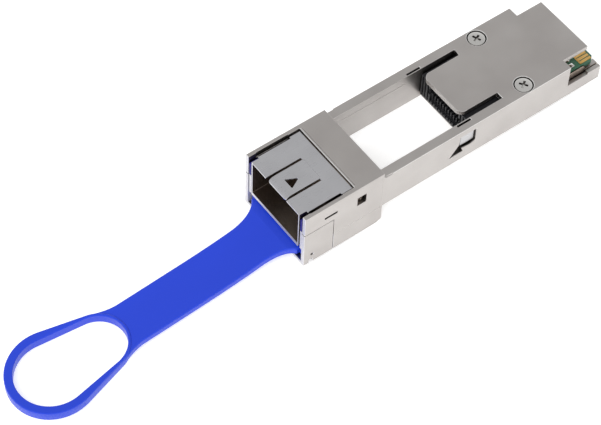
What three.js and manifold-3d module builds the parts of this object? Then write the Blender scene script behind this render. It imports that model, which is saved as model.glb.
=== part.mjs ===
// A pluggable network adapter: a larger plug body whose open frame takes a smaller plug-in module.
// Frame: +X towards the card edge (the end that goes into the host), +Y to the left, +Z up.
// Origin: on the stop face (X = 0), on the centre plane (Y = 0), at the level of the plug's underside.
// Lengths are in millimetres.
import * as THREE from 'three';
import { mergeVertices } from 'three/addons/utils/BufferGeometryUtils.js';
import Module from 'manifold-3d';

const wasm = await Module();
wasm.setup();

// ---- driving dimensions ----
const PLUG = { halfWidth: 9.175, height: 8.5, length: 53.0, coverEnd: 50.85 };
const BLOCK = { front: -18.1, halfWidth: 9.15, top: 9.7, bottom: -4.6, wall: 0.85, floor: 0.7 };
const SEAM = { x: -11.4, z: 4.55, gap: 0.1, bellyZ: -0.1, stopZ: 0.25 };
const RAIL = { inner: 7.2, skin: 0.2, slotEnd: 29.4 };
const COVER = { thickness: 1.0, tongueFront: 20.5, tongueHalf: 5.65, cornerR: 1.6, bridgeFront: -6.4 };
const NOTCH = { x: 44.75, halfWidth: 6.9, ledge: 3.0, shelfX: 49.8, shelf: 3.4 };
const CAGE = { front: -18.0, rear: -1.0, half: 7.0, floor: 0.35, ceiling: 9.0, sheet: 0.3, topEnd: -6.6 };
const TONGUE = { y: -0.2, half: 2.65, slit: 0.35, root: -9.9, front: -17.75, hole: 2.5 };
const SLIDE = { sheet: 0.4, y: 7.55, plateZ: -2.55, plate: 0.5, front: -15.2, rear: -2.6, travel: 2.5 };
const ARM = { low: 2.2, high: 6.3, lowHigh: 4.1, tallFrom: -1.4, waist: 15.0, end: 21.6 };
const TAB = { front: 18.1, low: 3.7, high: 6.7, outer: 8.72 };
const BOARD = { front: 29.7, rear: 52.3, half: 7.85, z: 3.9, thickness: 1.0, chamfer: 0.8 };
const SOCKET = { front: 21.5, rear: 28.5, half: 6.9, low: 1.2, high: 6.9, pitch: 0.8, count: 10 };
const SCREW = { x: 34.75, y: 7.0, headR: 1.8, shankR: 0.8, boreR: 1.95, seat: 7.75 };
const SPRING = { y: 4.5, z: -1.15, radius: 0.55, wire: 0.12, from: -10.2, to: -3.3, turns: 5 };
const STRAP = { half: 4.6, rootHalf: 7.1, thickness: 1.6, loopX: -67.0, loopR: 8.7, rim: 0.65 };
const CUT = 1.0;

// ---- solids ----
function toManifold(geometry) {
  const bare = geometry.clone();
  for (const name of Object.keys(bare.attributes)) {
    if (name !== 'position') bare.deleteAttribute(name);
  }
  const merged = mergeVertices(bare, 1e-5);
  return new wasm.Manifold(new wasm.Mesh({
    numProp: 3,
    vertProperties: new Float32Array(merged.attributes.position.array),
    triVerts: new Uint32Array(merged.index.array),
  }));
}

function toGeometry(solid) {
  const mesh = solid.getMesh();
  const geometry = new THREE.BufferGeometry();
  geometry.setAttribute('position', new THREE.BufferAttribute(new Float32Array(mesh.vertProperties), 3));
  geometry.setIndex(new THREE.BufferAttribute(new Uint32Array(mesh.triVerts), 1));
  geometry.computeVertexNormals();
  return geometry;
}

function block(x0, x1, y0, y1, z0, z1) {
  const geometry = new THREE.BoxGeometry(x1 - x0, y1 - y0, z1 - z0);
  geometry.translate((x0 + x1) / 2, (y0 + y1) / 2, (z0 + z1) / 2);
  return toManifold(geometry);
}

// The same box on the left and the right of the centre plane.
function pair(x0, x1, y0, y1, z0, z1) {
  return block(x0, x1, y0, y1, z0, z1).add(block(x0, x1, -y1, -y0, z0, z1));
}

function upright(x, y, radius, z0, z1, sides = 24) {
  const geometry = new THREE.CylinderGeometry(radius, radius, z1 - z0, sides);
  geometry.rotateX(Math.PI / 2);
  geometry.translate(x, y, (z0 + z1) / 2);
  return toManifold(geometry);
}

// A plan outline (x, y), or a THREE.Shape, raised from z0 to z1.
function plan(outline, z0, z1, segments = 12) {
  const shape = outline instanceof THREE.Shape ? outline : polygon(outline);
  const settings = { depth: z1 - z0, bevelEnabled: false, curveSegments: segments };
  const geometry = new THREE.ExtrudeGeometry(shape, settings);
  geometry.translate(0, 0, z0);
  return toManifold(geometry);
}

// A side outline (x, z) carried across from y0 to y1.
function profile(outline, y0, y1) {
  const settings = { depth: y1 - y0, bevelEnabled: false };
  const geometry = new THREE.ExtrudeGeometry(polygon(outline), settings);
  geometry.rotateX(Math.PI / 2);
  geometry.translate(0, y1, 0);
  return toManifold(geometry);
}

function polygon(points) {
  return new THREE.Shape(points.map(([x, y]) => new THREE.Vector2(x, y)));
}

function mirrorY(outline) {
  return outline.map(([x, y]) => [x, -y]).reverse();
}

function both(outline, z0, z1) {
  return plan(outline, z0, z1).add(plan(mirrorY(outline), z0, z1));
}

// ---- die-cast frame: block walls, bridge, two rails and the rear cover ----
function mainFrame() {
  const innerWall = BLOCK.halfWidth - BLOCK.wall;
  const coverUnder = PLUG.height - COVER.thickness;
  let frame = pair(BLOCK.front + 0.1, 0, innerWall, BLOCK.halfWidth, SEAM.z + SEAM.gap, BLOCK.top);
  const wallLow = SEAM.bellyZ + SEAM.gap;
  frame = frame.add(pair(SEAM.x + SEAM.gap, 0, innerWall, BLOCK.halfWidth, wallLow, BLOCK.top));
  frame = frame.add(block(COVER.bridgeFront, 0, -BLOCK.halfWidth, BLOCK.halfWidth, CAGE.ceiling, BLOCK.top));
  frame = frame.add(pair(-0.3, RAIL.slotEnd, RAIL.inner, PLUG.halfWidth, 0, PLUG.height));
  const wide = PLUG.halfWidth;
  frame = frame.add(block(RAIL.slotEnd, PLUG.coverEnd, -wide, wide, coverUnder, PLUG.height));
  frame = frame.add(plan(tongueOutline(), coverUnder, PLUG.height));
  frame = frame.add(pair(RAIL.slotEnd, NOTCH.x, innerWall, PLUG.halfWidth, 0, PLUG.height));
  frame = frame.add(pair(NOTCH.x - CUT, PLUG.length, innerWall, PLUG.halfWidth, 0, NOTCH.ledge));
  frame = frame.add(pair(NOTCH.shelfX, PLUG.length, innerWall, PLUG.halfWidth, 0, NOTCH.shelf));
  const clearTop = PLUG.height + CUT;
  frame = frame.subtract(pair(NOTCH.x, PLUG.length + CUT, NOTCH.halfWidth, 10, NOTCH.shelf + 0.1, clearTop));
  // screw bosses, their counterbores and clearance holes
  for (const side of [-1, 1]) {
    const y = side * SCREW.y;
    const boss = upright(SCREW.x, y, 1.75, BOARD.z + BOARD.thickness + 0.2, PLUG.height - 0.2);
    frame = frame.add(boss.intersect(block(20, 50, -PLUG.halfWidth, PLUG.halfWidth, 0, PLUG.height)));
    frame = frame.subtract(upright(SCREW.x, y, SCREW.boreR, SCREW.seat, clearTop));
    frame = frame.subtract(upright(SCREW.x, y, SCREW.shankR + 0.2, 0, clearTop));
  }
  // channels for the release arms, and the latch windows that their end tabs show in
  const channelInner = RAIL.inner + RAIL.skin;
  const pocketFront = TAB.front - SLIDE.travel - 0.4;
  const windowEnd = ARM.end + 0.2;
  frame = frame.subtract(pair(-CUT, ARM.end - 2, channelInner, SLIDE.y + SLIDE.sheet + 0.15, 1.8, 6.6));
  frame = frame.subtract(pair(pocketFront, windowEnd, channelInner, TAB.outer + 0.1, 1.8, 6.9));
  const window = [[15.6, 2.1], [18.9, 2.2], [18.5, 3.3], [20.6, 3.1], [windowEnd, 3.5], [windowEnd, 6.85],
    [18.0, 6.85], [17.8, 4.7]];
  frame = frame.subtract(profile(window, 7.6, 10)).subtract(profile(window, -10, -7.6));
  // narrow slits in the rails' top, open into the latch pockets
  frame = frame.subtract(pair(18.2, ARM.end - 0.2, channelInner, channelInner + 0.4, 6.5, clearTop));
  // square snap windows and thin side slots
  const windows = pair(-6.05, -4.0, innerWall - CUT, 10, 4.5, 6.85);
  const slits = pair(-13.5, -10.6, innerWall - CUT, 10, 6.2, 6.75);
  return frame.subtract(windows).subtract(slits);
}

function tongueOutline() {
  const { tongueFront, tongueHalf, cornerR } = COVER;
  const shape = new THREE.Shape();
  shape.moveTo(RAIL.slotEnd + 0.5, -tongueHalf);
  shape.lineTo(RAIL.slotEnd + 0.5, tongueHalf);
  shape.lineTo(tongueFront + cornerR, tongueHalf);
  shape.absarc(tongueFront + cornerR, tongueHalf - cornerR, cornerR, Math.PI / 2, Math.PI, false);
  shape.absarc(tongueFront + cornerR, -tongueHalf + cornerR, cornerR, Math.PI, 1.5 * Math.PI, false);
  return shape;
}

// ---- lower front collar: the strap comes out over its front edge ----
function frontCollar() {
  const innerWall = BLOCK.halfWidth - BLOCK.wall;
  const floorTop = BLOCK.bottom + BLOCK.floor;
  let collar = pair(BLOCK.front, SEAM.x, innerWall, BLOCK.halfWidth, BLOCK.bottom, SEAM.z);
  collar = collar.add(block(BLOCK.front, SEAM.x, -BLOCK.halfWidth, BLOCK.halfWidth, BLOCK.bottom, floorTop));
  const notches = pair(-16.8, -16.0, innerWall - CUT, 10, BLOCK.bottom - CUT, BLOCK.bottom + 0.9);
  const holes = pair(-16.4, -15.8, innerWall - CUT, 10, -2.6, -2.0);
  return collar.subtract(notches).subtract(holes);
}

// ---- belly cover: closes the slider's space and carries the stop face ----
function bellyCover() {
  const front = SEAM.x + SEAM.gap;
  const innerWall = BLOCK.halfWidth - BLOCK.wall;
  const floorTop = BLOCK.bottom + BLOCK.floor;
  const side = [[front, BLOCK.bottom], [-1.3, BLOCK.bottom], [0, BLOCK.bottom + 0.5], [0, SEAM.bellyZ],
    [front, SEAM.bellyZ]];
  let cover = profile(side, -BLOCK.halfWidth, BLOCK.halfWidth);
  cover = cover.subtract(block(front - CUT, -0.8, -innerWall, innerWall, floorTop, 5));
  cover = cover.add(block(-0.8, 0, 0.15 - RAIL.inner, RAIL.inner - 0.15, SEAM.bellyZ - 1, SEAM.stopZ));
  const posts = pair(-11.0, -10.35, SPRING.y - 0.7, SPRING.y + 0.7, floorTop - 0.2, -0.45);
  return cover.add(posts);
}

// ---- rear base tray under the circuit board ----
function bottomTray() {
  const wide = BLOCK.halfWidth - BLOCK.wall - 0.15;
  const floorTop = 0.8;
  const seatTop = BOARD.z - 0.1;
  const ribTop = BOARD.z + 0.6;
  let tray = block(22.0, PLUG.length, -RAIL.inner + 0.15, RAIL.inner - 0.15, 0, floorTop);
  tray = tray.add(block(RAIL.slotEnd + 0.2, PLUG.length, -wide, wide, 0, floorTop));
  tray = tray.add(pair(RAIL.slotEnd + 0.4, NOTCH.shelfX, BOARD.half - 0.6, wide, floorTop - 0.2, seatTop));
  tray = tray.add(pair(RAIL.slotEnd + 0.4, NOTCH.shelfX, BOARD.half + 0.1, wide, seatTop - 0.2, ribTop));
  tray = tray.add(pair(NOTCH.shelfX, PLUG.length, NOTCH.halfWidth, wide, floorTop - 0.2, NOTCH.shelf));
  for (const side of [-1, 1]) {
    const y = side * SCREW.y;
    const limit = block(30, 40, -wide, wide, 0, seatTop);
    tray = tray.add(upright(SCREW.x, y, 1.6, floorTop - 0.2, seatTop).intersect(limit));
    tray = tray.subtract(upright(SCREW.x, y, SCREW.shankR + 0.2, 0.7, ribTop + CUT));
  }
  return tray;
}

// ---- folded sheet cage that guides the plug-in module ----
function moduleCage() {
  const { front, rear, half, floor, ceiling, sheet, topEnd } = CAGE;
  let cage = block(front, rear, -half - sheet, half + sheet, floor - sheet, ceiling + sheet);
  cage = cage.subtract(block(front - CUT, rear + CUT, -half, half, floor, ceiling));
  cage = cage.subtract(block(topEnd, rear + CUT, -10, 10, ceiling - 0.15, 12));
  cage = cage.add(block(-16.4, topEnd, -7.75, 7.75, ceiling, ceiling + sheet));
  cage = cage.add(pair(-9.0, topEnd, 7.0, 8.0, ceiling, ceiling + sheet));
  const slot = TONGUE.half + TONGUE.slit;
  const slotEnd = TONGUE.root + 0.3;
  cage = cage.subtract(block(front - CUT, slotEnd, TONGUE.y - slot, TONGUE.y + slot, ceiling - CUT, 12));
  return cage.add(pair(-5.8, -4.3, half + sheet - 0.05, 8.75, 4.75, 6.5));
}

// ---- latch leaf of the cage, with a three-cornered hole for the module's catch ----
function latchLeaf() {
  const { y, half, root, front, hole } = TONGUE;
  const under = CAGE.ceiling;
  const top = under + CAGE.sheet;
  const tip = [[root, under], [front + 0.6, under], [front, under - 0.25], [front, top - 0.25],
    [front + 0.6, top], [root, top]];
  const leaf = profile(tip.reverse(), y - half, y + half);
  const baseX = -15.5;
  const opening = [[baseX, y - 0.3 - hole / 2], [baseX + hole, y - 0.3], [baseX, y - 0.3 + hole / 2]];
  return leaf.subtract(plan(opening, under - CUT, top + CUT));
}

// ---- sliding release: plate under the cage, two side plates and two long arms ----
function slideLatch() {
  const { sheet, y, plateZ, plate, front, rear } = SLIDE;
  const outer = y + sheet;
  let slide = block(front, rear, -outer, outer, plateZ, plateZ + plate);
  slide = slide.add(pair(-12.8, rear, y, outer, plateZ, ARM.lowHigh));
  slide = slide.add(pair(rear - 0.5, ARM.waist, y, outer, ARM.low, ARM.lowHigh));
  slide = slide.add(pair(ARM.tallFrom, ARM.waist, y, outer, ARM.low, ARM.high));
  slide = slide.add(pair(ARM.waist - 0.5, ARM.end, y, outer, TAB.low, ARM.high));
  const tab = [[TAB.front, y], [ARM.end, y], [ARM.end, TAB.outer], [TAB.front + 0.5, TAB.outer],
    [TAB.front, outer]];
  slide = slide.add(both(tab, TAB.low, TAB.high));
  slide = slide.subtract(pair(-11.4, -6.9, SPRING.y - 0.95, SPRING.y + 0.95, plateZ - CUT, plateZ + CUT));
  return slide.add(pair(rear - 0.5, rear, SPRING.y - 1.1, SPRING.y + 1.1, plateZ + 0.1, -0.45));
}

// ---- moulded pull tab: gripping root with two ears, strap and finger loop ----
// The strap leaves level, droops and flattens out: its top surface against the distance from the block.
function strapTop(distance) {
  return -1.6 - 2.2 * (1 - Math.exp(-distance / 6)) - 0.066 * distance;
}

function strapBody(outline, rise, thickness, segments) {
  const end = -STRAP.loopX + STRAP.loopR + BLOCK.front + 2;
  const steps = 12;
  const upper = [];
  const lower = [];
  for (let i = 0; i <= steps; i += 1) {
    const distance = end * (i / steps) ** 1.6;
    upper.push([BLOCK.front - distance, strapTop(distance) + rise]);
    lower.push([BLOCK.front - distance, strapTop(distance) + rise - thickness]);
  }
  const slab = profile([...upper, ...lower.reverse()], -12, 12);
  return slab.intersect(plan(outline, -16, 4, segments));
}

function strapOutline() {
  const { half, rootHalf, loopX, loopR } = STRAP;
  const lean = 0.285;
  const tangentX = loopX + loopR * Math.sin(lean);
  const tangentY = loopR * Math.cos(lean);
  const neck = -50.0;
  const flare = 4.4;
  const shape = new THREE.Shape();
  shape.moveTo(BLOCK.front, -rootHalf);
  shape.lineTo(BLOCK.front, rootHalf);
  shape.quadraticCurveTo(BLOCK.front - 1.5, half + 0.2, BLOCK.front - flare - 1.5, half);
  shape.lineTo(neck, half);
  shape.quadraticCurveTo(neck - 2.0, half, neck - 4.5, half + 0.95);
  shape.lineTo(tangentX, tangentY);
  shape.absarc(loopX, 0, loopR, Math.PI / 2 - lean, 1.5 * Math.PI + lean, false);
  shape.lineTo(neck - 4.5, -half - 0.95);
  shape.quadraticCurveTo(neck - 2.0, -half, neck, -half);
  shape.lineTo(BLOCK.front - flare - 1.5, -half);
  shape.quadraticCurveTo(BLOCK.front - 1.5, -half - 0.2, BLOCK.front, -rootHalf);
  return shape;
}

// Two circles and their outer tangents, for the finger hole and the rim round it.
function teardrop(farX, farR, nearX, nearR) {
  const lean = Math.asin((farR - nearR) / (nearX - farX));
  const shape = new THREE.Shape();
  shape.absarc(farX, 0, farR, Math.PI / 2 - lean, 1.5 * Math.PI + lean, false);
  shape.absarc(nearX, 0, nearR, 1.5 * Math.PI + lean, 2.5 * Math.PI - lean, false);
  return shape;
}

function pullTab() {
  const { loopX, loopR, thickness, rim } = STRAP;
  const nearX = -57.4;
  let tab = strapBody(strapOutline(), 0, thickness, 8);
  const ring = strapBody(teardrop(loopX, loopR, nearX, 6.45), 0.2, thickness + rim, 12);
  tab = tab.add(ring).subtract(plan(teardrop(loopX, 7.05, nearX, 5.6), -16, 4, 12));
  const rootFront = BLOCK.front + 0.9;
  const low = -3.5;
  const high = -1.1;
  tab = tab.add(block(BLOCK.front - 0.05, rootFront, -STRAP.rootHalf, STRAP.rootHalf, -3.2, -1.6));
  tab = tab.add(block(rootFront - 0.1, -13.0, -STRAP.rootHalf, STRAP.rootHalf, low, high));
  tab = tab.add(block(rootFront - 0.1, -15.6, -8.1, 8.1, low, high));
  tab = tab.add(pair(rootFront - 0.1, -15.6, SLIDE.y, 8.1, low, 8.4));
  const gap = 0.3;
  const pocketTop = SLIDE.plateZ + SLIDE.plate + gap;
  return tab.subtract(block(SLIDE.front - gap, -12, -10, 10, SLIDE.plateZ - gap, pocketTop));
}

// ---- return spring: a round-wire coil along X ----
class Coil extends THREE.Curve {
  constructor(side) {
    super();
    this.side = side;
  }

  getPoint(t) {
    const angle = t * SPRING.turns * 2 * Math.PI;
    const x = SPRING.from + (SPRING.to - SPRING.from) * t;
    const y = this.side * SPRING.y + SPRING.radius * Math.cos(angle);
    return new THREE.Vector3(x, y, SPRING.z + SPRING.radius * Math.sin(angle));
  }
}

function returnSpring(side) {
  const section = new THREE.Shape();
  section.absarc(0, 0, SPRING.wire, 0, 2 * Math.PI, false);
  const extrudePath = new Coil(side);
  const settings = { steps: SPRING.turns * 8, curveSegments: 5, extrudePath, bevelEnabled: false };
  return toManifold(new THREE.ExtrudeGeometry(section, settings));
}

// ---- circuit board with notches for the screws, and its gold edge contacts ----
function circuitBoard() {
  const { front, rear, half, z, thickness, chamfer } = BOARD;
  const outline = [[front, -half], [rear - chamfer, -half], [rear, -half + chamfer], [rear, half - chamfer],
    [rear - chamfer, half], [front, half]];
  let board = plan(outline, z, z + thickness);
  const holeR = SCREW.shankR + 0.35;
  for (const side of [-1, 1]) {
    board = board.subtract(upright(SCREW.x, side * SCREW.y, holeR, z - CUT, z + thickness + CUT));
  }
  return board;
}

function comb(count, pitch, width, x0, x1, barX, z0, z1) {
  const reach = ((count - 1) / 2) * pitch + width / 2;
  let solid = block(barX, barX + 0.3, -reach, reach, z0, z1);
  for (let i = 0; i < count; i += 1) {
    const y = (i - (count - 1) / 2) * pitch;
    solid = solid.add(block(x0, x1, y - width / 2, y + width / 2, z0, z1));
  }
  return solid;
}

function edgeContacts(z0) {
  return comb(19, 0.8, 0.62, 49.3, BOARD.rear - 0.45, 49.0, z0, z0 + 0.05);
}

// ---- connector for the plug-in module's card edge ----
function socketHousing() {
  const { front, rear, half, low, high, pitch, count } = SOCKET;
  const middle = BOARD.z + BOARD.thickness / 2;
  let housing = block(front, rear, -half, half, low, high);
  housing = housing.subtract(block(front - CUT, rear - 2.0, -4.8, 4.8, middle - 0.75, middle + 0.75));
  for (let i = 0; i < count; i += 1) {
    const y = (i - (count - 1) / 2) * pitch;
    housing = housing.subtract(block(front - CUT, rear + CUT, y - 0.25, y + 0.25, middle + 0.5, high - 0.6));
    housing = housing.subtract(block(front - CUT, rear + CUT, y - 0.25, y + 0.25, low + 0.9, middle - 0.5));
  }
  return housing;
}

// Spring contacts in one row; the tails rest on the board.
function contactRow(sign) {
  const { front, rear, pitch, count } = SOCKET;
  const middle = BOARD.z + BOARD.thickness / 2;
  const level = (a, b) => (sign > 0 ? [middle + a, middle + b] : [middle - b, middle - a]);
  const width = 0.34;
  const [tailLow, tailHigh] = level(0.58, 0.78);
  const [bladeLow, bladeHigh] = level(0.58, 1.3);
  let row = block(rear + 0.15, rear + 0.45, -3.9, 3.9, bladeLow, bladeHigh);
  for (let i = 0; i < count; i += 1) {
    const y = (i - (count - 1) / 2) * pitch;
    row = row.add(block(rear - 2.2, rear + 0.3, y - width / 2, y + width / 2, bladeLow, bladeHigh));
    row = row.add(block(front + 1.8, rear - 2.0, y - width / 2, y + width / 2, ...level(0.95, 1.15)));
    row = row.add(block(rear + 0.3, rear + 2.8, y - width / 2, y + width / 2, tailLow, tailHigh));
  }
  return row;
}

// ---- cross-recessed pan screws ----
function coverScrew(side) {
  const y = side * SCREW.y;
  const { x, headR, shankR, seat } = SCREW;
  let screw = upright(x, y, headR, seat + 0.05, seat + 0.7).add(upright(x, y, shankR, 1.0, seat + 0.2));
  const reach = headR * 0.6;
  screw = screw.subtract(block(x - reach, x + reach, y - 0.22, y + 0.22, seat + 0.35, seat + 2));
  return screw.subtract(block(x - 0.22, x + 0.22, y - reach, y + reach, seat + 0.35, seat + 2));
}

function chip(x, y, length, width, height) {
  const z = BOARD.z + BOARD.thickness + 0.06;
  return block(x - length / 2, x + length / 2, y - width / 2, y + width / 2, z, z + height);
}

// ---- assembly ----
const adapter = new THREE.Group();

function addPart(name, solid, color, roughness, metalness) {
  const material = new THREE.MeshStandardMaterial({ color, roughness, metalness });
  const mesh = new THREE.Mesh(toGeometry(solid), material);
  mesh.name = name;
  adapter.add(mesh);
}

const CASTING = ['#a9a5a1', 0.38, 0.9];
const SHEET = ['#b4b8c0', 0.3, 0.95];
const BLUE = ['#2f49cf', 0.45, 0.0];
const STEEL = ['#c4c4c2', 0.3, 1.0];
const GOLD = ['#c98b3a', 0.3, 1.0];
const BLACK = ['#17171c', 0.5, 0.0];

addPart('main_frame', mainFrame(), ...CASTING);
addPart('front_collar', frontCollar(), ...CASTING);
addPart('belly_cover', bellyCover(), ...CASTING);
addPart('bottom_tray', bottomTray(), ...CASTING);
addPart('module_cage', moduleCage(), ...SHEET);
addPart('cage_latch_leaf', latchLeaf(), ...SHEET);
addPart('release_slide', slideLatch(), ...STEEL);
addPart('pull_tab', pullTab(), ...BLUE);
addPart('return_spring_left', returnSpring(1), ...STEEL);
addPart('return_spring_right', returnSpring(-1), ...STEEL);
addPart('circuit_board', circuitBoard(), '#2d5b48', 0.5, 0.0);
addPart('edge_contacts_top', edgeContacts(BOARD.z + BOARD.thickness + 0.01), ...GOLD);
addPart('edge_contacts_bottom', edgeContacts(BOARD.z - 0.06), ...GOLD);
addPart('socket_housing', socketHousing(), ...BLACK);
addPart('socket_contacts_upper', contactRow(1), ...GOLD);
addPart('socket_contacts_lower', contactRow(-1), ...GOLD);
addPart('cover_screw_left', coverScrew(1), ...STEEL);
addPart('cover_screw_right', coverScrew(-1), ...STEEL);
addPart('controller_chip', chip(41.0, 0, 4.0, 4.0, 0.9), ...BLACK);
addPart('memory_chip', chip(36.5, -1.5, 3.0, 2.0, 0.75), ...BLACK);
addPart('power_inductor', chip(36.3, 2.6, 2.5, 2.0, 1.2), '#55504c', 0.6, 0.0);
for (const [i, y] of [-4.8, -1.8, 1.8, 4.8].entries()) {
  addPart(`capacitor_${i + 1}`, chip(45.8, y, 1.6, 0.8, 0.7), '#9c7d5a', 0.5, 0.0);
}

export default adapter;
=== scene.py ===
# A pluggable network adapter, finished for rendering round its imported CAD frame.
# +X points to the card edge, +Y to the left, +Z up, as in the frame. Values that carry MM, and
# the frame's own, are in metres. The corners of boxes and the points of outlines are in millimetres.
import math

import bmesh
import bpy
from mathutils import Matrix, Vector


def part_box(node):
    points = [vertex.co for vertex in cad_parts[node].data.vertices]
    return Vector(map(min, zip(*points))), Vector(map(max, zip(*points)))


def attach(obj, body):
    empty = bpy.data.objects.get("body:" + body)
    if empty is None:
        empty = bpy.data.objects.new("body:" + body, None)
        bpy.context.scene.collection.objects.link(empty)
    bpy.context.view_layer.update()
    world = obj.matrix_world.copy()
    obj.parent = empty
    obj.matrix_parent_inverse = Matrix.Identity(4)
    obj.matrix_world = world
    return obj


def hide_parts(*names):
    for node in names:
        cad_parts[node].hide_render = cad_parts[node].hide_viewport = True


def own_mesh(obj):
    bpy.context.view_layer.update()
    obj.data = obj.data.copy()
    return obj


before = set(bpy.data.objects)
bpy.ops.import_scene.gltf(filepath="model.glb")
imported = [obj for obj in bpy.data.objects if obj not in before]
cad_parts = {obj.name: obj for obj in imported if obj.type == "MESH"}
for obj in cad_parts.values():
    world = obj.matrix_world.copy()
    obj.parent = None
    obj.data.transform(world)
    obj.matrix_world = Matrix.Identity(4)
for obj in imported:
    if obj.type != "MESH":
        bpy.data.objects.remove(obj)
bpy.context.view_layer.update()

MM = 0.001

# ---- places taken from the frame ----
COLLAR_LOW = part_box("front_collar")[0]
BOARD_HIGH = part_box("circuit_board")[1]
CAGE_LOW, CAGE_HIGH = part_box("module_cage")
LEAF_LOW, LEAF_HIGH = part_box("cage_latch_leaf")
SOCKET_LOW, SOCKET_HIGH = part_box("socket_housing")
TRAY_LOW, TRAY_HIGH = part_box("bottom_tray")
SCREW_LOW, SCREW_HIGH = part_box("cover_screw_left")
PLUG_TOP = 8.5 * MM
BLOCK_FRONT = COLLAR_LOW.x

# ---- how far edges are rounded, and other small sizes that several pieces share ----
CAST_EDGE = 0.12 * MM
TRAY_EDGE = 0.10 * MM
GRIP_EDGE = 0.18 * MM
STAMPED_EDGE = 0.09 * MM
SHEET_EDGE = 0.06 * MM
MOULDED_EDGE = 0.05 * MM
CONTACT_EDGE = 0.04 * MM
PAD_EDGE = 0.02 * MM
WELD = 2e-6
SAME_PLACE = 1e-6
ON_PLANE = 1e-7


# ---- mesh tools ----
def new_object(name, mesh):
    obj = bpy.data.objects.new(name, mesh)
    bpy.context.scene.collection.objects.link(obj)
    return obj


def object_from(name, bm):
    mesh = bpy.data.meshes.new(name)
    bm.to_mesh(mesh)
    bm.free()
    return new_object(name, mesh)


def opened(obj):
    """obj's mesh, ready for editing."""
    bm = bmesh.new()
    bm.from_mesh(obj.data)
    return bm


def closed(bm, obj):
    """Writes an edited mesh back to obj."""
    bm.to_mesh(obj.data)
    bm.free()
    return obj


def mesh_only(obj):
    """obj's mesh for editing, with the object itself removed."""
    bm = opened(obj)
    bpy.data.objects.remove(obj)
    return bm


def mesh_of(name, curve):
    """The mesh that a curve with a thickness makes."""
    holder = new_object(name, curve)
    depsgraph = bpy.context.evaluated_depsgraph_get()
    mesh = bpy.data.meshes.new_from_object(holder.evaluated_get(depsgraph))
    bpy.data.objects.remove(holder)
    return mesh


def bake_modifiers(obj):
    """Turns obj's modifiers into plain mesh."""
    depsgraph = bpy.context.evaluated_depsgraph_get()
    mesh = bpy.data.meshes.new_from_object(obj.evaluated_get(depsgraph))
    obj.modifiers.clear()
    obj.data = mesh
    return obj


def clean(bm, angle=0.4):
    """Welds the triangles of a solid and joins the flat ones into whole faces."""
    bmesh.ops.remove_doubles(bm, verts=bm.verts, dist=WELD)
    bmesh.ops.dissolve_limit(
        bm, angle_limit=math.radians(angle), verts=bm.verts, edges=bm.edges, delimit={"NORMAL"}
    )
    bmesh.ops.recalc_face_normals(bm, faces=bm.faces)
    return bm


def cad_copy(node):
    bm = bmesh.new()
    bm.from_mesh(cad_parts[node].data)
    return clean(bm)


def box_into(bm, low, high):
    """Adds the box between two corners, given in millimetres."""
    low, high = Vector(low) * MM, Vector(high) * MM
    size = high - low
    for vert in bmesh.ops.create_cube(bm, size=1.0)["verts"]:
        vert.co = (low + high) / 2 + Vector(vert.co[i] * size[i] for i in range(3))


def boxes(*corners):
    bm = bmesh.new()
    for low, high in corners:
        box_into(bm, low, high)
    return bm


def mirrored(corners):
    """The same boxes on both sides of the centre plane."""
    out = []
    for (x0, y0, z0), (x1, y1, z1) in corners:
        out.append(((x0, y0, z0), (x1, y1, z1)))
        out.append(((x0, -y1, z0), (x1, -y0, z1)))
    return out


def combine(obj, bm, operation):
    """Adds the solid bm to obj, or takes it away."""
    other = object_from("tool", bm)
    modifier = obj.modifiers.new("combine", "BOOLEAN")
    modifier.operation = operation
    modifier.solver = "EXACT"
    modifier.use_self = True
    modifier.object = other
    bake_modifiers(obj)
    bpy.data.objects.remove(other)
    return closed(clean(opened(obj)), obj)


def cut(obj, bm):
    return combine(obj, bm, "DIFFERENCE")


def join(obj, bm):
    return combine(obj, bm, "UNION")


def room_beside(edge, face):
    """How far the face reaches from the edge, judged by its corners that lie beside the edge."""
    slack = 0.02
    a, b = edge.verts[0].co, edge.verts[1].co
    along = (b - a).normalized()
    span = (b - a).length
    room = span
    for vert in face.verts:
        if vert in edge.verts:
            continue
        offset = vert.co - a
        place = offset.dot(along)
        if -slack * span < place < (1 + slack) * span:
            room = min(room, (offset - along * place).length)
    return room


def round_edges(obj, width, segments=2, angle=28.0):
    """Rounds every sharp edge by width, or less where there is no room for it."""
    bm = opened(obj)
    weights = bm.edges.layers.float
    layer = weights.get("bevel_weight_edge") or weights.new("bevel_weight_edge")
    share_of_room, least = 0.4, 0.12
    for edge in bm.edges:
        edge[layer] = 0.0
        if len(edge.link_faces) != 2 or edge.calc_face_angle(0.0) < math.radians(angle):
            continue
        room = min(room_beside(edge, face) for face in edge.link_faces)
        weight = min(1.0, share_of_room * room / width)
        edge[layer] = weight if weight > least else 0.0
    closed(bm, obj)
    bevel = obj.modifiers.new("round", "BEVEL")
    bevel.limit_method = "WEIGHT"
    bevel.width = width
    bevel.segments = segments
    bevel.use_clamp_overlap = False
    bevel.harden_normals = True
    obj.data.shade_smooth()
    bake_modifiers(obj)
    bm = opened(obj)
    bmesh.ops.remove_doubles(bm, verts=bm.verts, dist=SAME_PLACE)
    return smooth(closed(bm, obj))


def smooth(obj, angle=40.0):
    """Smooth shading, with flat faces kept flat and the sharpest creases kept sharp."""
    obj.data.shade_smooth()
    bm = opened(obj)
    for edge in bm.edges:
        edge.smooth = edge.calc_face_angle(0.0) < math.radians(angle)
    closed(bm, obj)
    modifier = obj.modifiers.new("normals", "WEIGHTED_NORMAL")
    modifier.keep_sharp = True
    modifier.weight = 60
    return bake_modifiers(obj)


def finish_piece(obj, body, slot, material, *nodes):
    """Gives a piece its material and its body, and hides the CAD nodes that it stands for; slot is not
    used.
    """
    obj.data.materials.clear()
    obj.data.materials.append(material)
    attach(obj, body)
    if nodes:
        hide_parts(*nodes)
    return obj


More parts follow.
